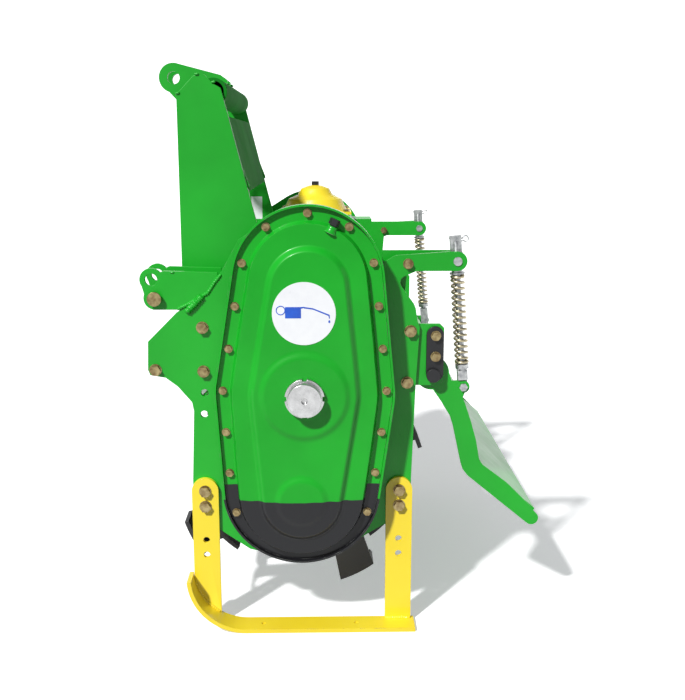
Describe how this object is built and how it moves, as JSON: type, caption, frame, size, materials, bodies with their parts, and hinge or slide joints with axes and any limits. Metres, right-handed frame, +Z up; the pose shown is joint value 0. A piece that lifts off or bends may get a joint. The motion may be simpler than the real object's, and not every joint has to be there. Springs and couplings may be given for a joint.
{
  "type": "rotary tiller",
  "caption": "Compact three-point-hitch rotary tiller with side gear case, mast, skids, curved blades on a rotor under a hood, and a sprung trailing board.",
  "frame": {"origin": "centre of the bounding box at ground level, under the skid runners", "axes": "+X towards the rear (trailing board), +Y along the rotor away from the side gear case, +Z up"},
  "size_m": [0.751, 0.899, 1.074],
  "materials": {
    "green_paint": "gloss",
    "yellow_paint": "gloss",
    "black_paint": "satin",
    "gold_zinc": "satin",
    "bright_zinc": "satin",
    "machined_steel": "satin",
    "gasket_rubber": "matte",
    "decal_white": "gloss"
  },
  "bodies": {
    "frame": {"side_plate_drive": "green_paint", "side_plate_bearing": "green_paint", "rotor_hood": "green_paint", "front_cross_tube": "green_paint", "front_stay": "green_paint", "axle_tube_drive": "green_paint", "axle_tube_bearing": "green_paint", "mast_legs": "green_paint", "mast_top_beam": "green_paint", "mast_rear_web": "green_paint", "top_link_plates": "green_paint", "lower_link_plates": "green_paint", "lower_link_pins": "gold_zinc", "hinge_holders": "green_paint", "hinge_links": "black_paint", "link_nuts": "bright_zinc", "hinge_pins": "black_paint", "inner_arms": "green_paint", "arm_spacers": "gold_zinc", "side_bolts": "gold_zinc", "skids": "yellow_paint", "skid_bolts": "gold_zinc", "gearbox_housing": "green_paint", "gearbox_cover": "yellow_paint", "gearbox_bolts": "gold_zinc", "breather": "black_paint", "input_bearings": "machined_steel", "cross_bearings": "machined_steel", "case_housing": "green_paint", "case_gasket": "gasket_rubber", "case_cover": "green_paint", "case_bolts": "gold_zinc", "filler_plug": "black_paint", "drain_plug": "black_paint", "label_disc": "decal_white", "middle_axle": "bright_zinc", "axle_lock_ring": "bright_zinc", "axle_end_nut": "bright_zinc", "rotor_bearings": "machined_steel", "rotor_bearing_cap": "green_paint"},
    "input_set": {"input_shaft": "machined_steel", "bevel_pinion": "machined_steel"},
    "cross_set": {"cross_shaft": "machined_steel", "bevel_gear": "machined_steel", "upper_gear": "machined_steel"},
    "middle_set": {"middle_gear": "machined_steel"},
    "rotor_set": {"rotor_tube": "black_paint", "rotor_gear": "machined_steel", "blades": "black_paint", "blade_bolts": "gold_zinc"},
    "trailing_board": {"board_sheet": "green_paint", "board_cheeks": "green_paint"},
    "rod_set_near": {"spring_rod_near": "bright_zinc", "spring_near": "bright_zinc", "rod_clip_near": "bright_zinc"},
    "rod_set_far": {"spring_rod_far": "bright_zinc", "spring_far": "bright_zinc", "rod_clip_far": "bright_zinc"},
    "trunnion_set_near": {"trunnion_near": "bright_zinc"},
    "trunnion_set_far": {"trunnion_far": "bright_zinc"}
  },
  "joints": [
    {"name": "rotor_spin", "type": "hinge", "parent": "frame", "child": "rotor_set", "pos_m": [-0.0795, 0.0245, 0.27], "axis": [0, 1, 0], "continuous": true},
    {"name": "middle_gear_spin", "type": "hinge", "parent": "frame", "child": "middle_set", "pos_m": [-0.07259, 0.0245, 0.46788], "axis": [0, 1, 0], "continuous": true},
    {"name": "cross_shaft_spin", "type": "hinge", "parent": "frame", "child": "cross_set", "pos_m": [-0.06547, 0.0245, 0.67175], "axis": [0, 1, 0], "continuous": true},
    {"name": "input_shaft_spin", "type": "hinge", "parent": "frame", "child": "input_set", "pos_m": [-0.0795, 0.0245, 0.67175], "axis": [1, 0, 0], "continuous": true},
    {"name": "board_swing", "type": "hinge", "parent": "frame", "child": "trailing_board", "pos_m": [0.1645, 0.0245, 0.491], "axis": [0, -1, 0], "range_deg": [0, 20], "stiffness_Nm_per_rad": 25},
    {"name": "rod_tilt_near", "type": "hinge", "parent": "trailing_board", "child": "rod_set_near", "pos_m": [0.2235, -0.3315, 0.464], "axis": [0, -1, 0], "range_deg": [-18.2, 0.1], "deforming": ["spring_near"]},
    {"name": "trunnion_tilt_near", "type": "hinge", "parent": "frame", "child": "trunnion_set_near", "pos_m": [0.2055, -0.3315, 0.702], "axis": [0, -1, 0], "range_deg": [-0.1, 2.1]},
    {"name": "rod_tilt_far", "type": "hinge", "parent": "trailing_board", "child": "rod_set_far", "pos_m": [0.2235, 0.3805, 0.464], "axis": [0, -1, 0], "range_deg": [-18.2, 0.1], "deforming": ["spring_far"]},
    {"name": "trunnion_tilt_far", "type": "hinge", "parent": "frame", "child": "trunnion_set_far", "pos_m": [0.2055, 0.3805, 0.702], "axis": [0, -1, 0], "range_deg": [-0.1, 2.1]}
  ],
  "couplings": [
    {"joint": "middle_gear_spin", "follows": "rotor_spin", "ratio": -0.73684},
    {"joint": "cross_shaft_spin", "follows": "rotor_spin", "ratio": 0.93333},
    {"joint": "input_shaft_spin", "follows": "rotor_spin", "ratio": 1.8667},
    {"joint": "rod_tilt_near", "follows": "board_swing", "ratio": -0.90376},
    {"joint": "trunnion_tilt_near", "follows": "board_swing", "ratio": 0.09624},
    {"joint": "rod_tilt_far", "follows": "board_swing", "ratio": -0.90376},
    {"joint": "trunnion_tilt_far", "follows": "board_swing", "ratio": 0.09624}
  ]
}
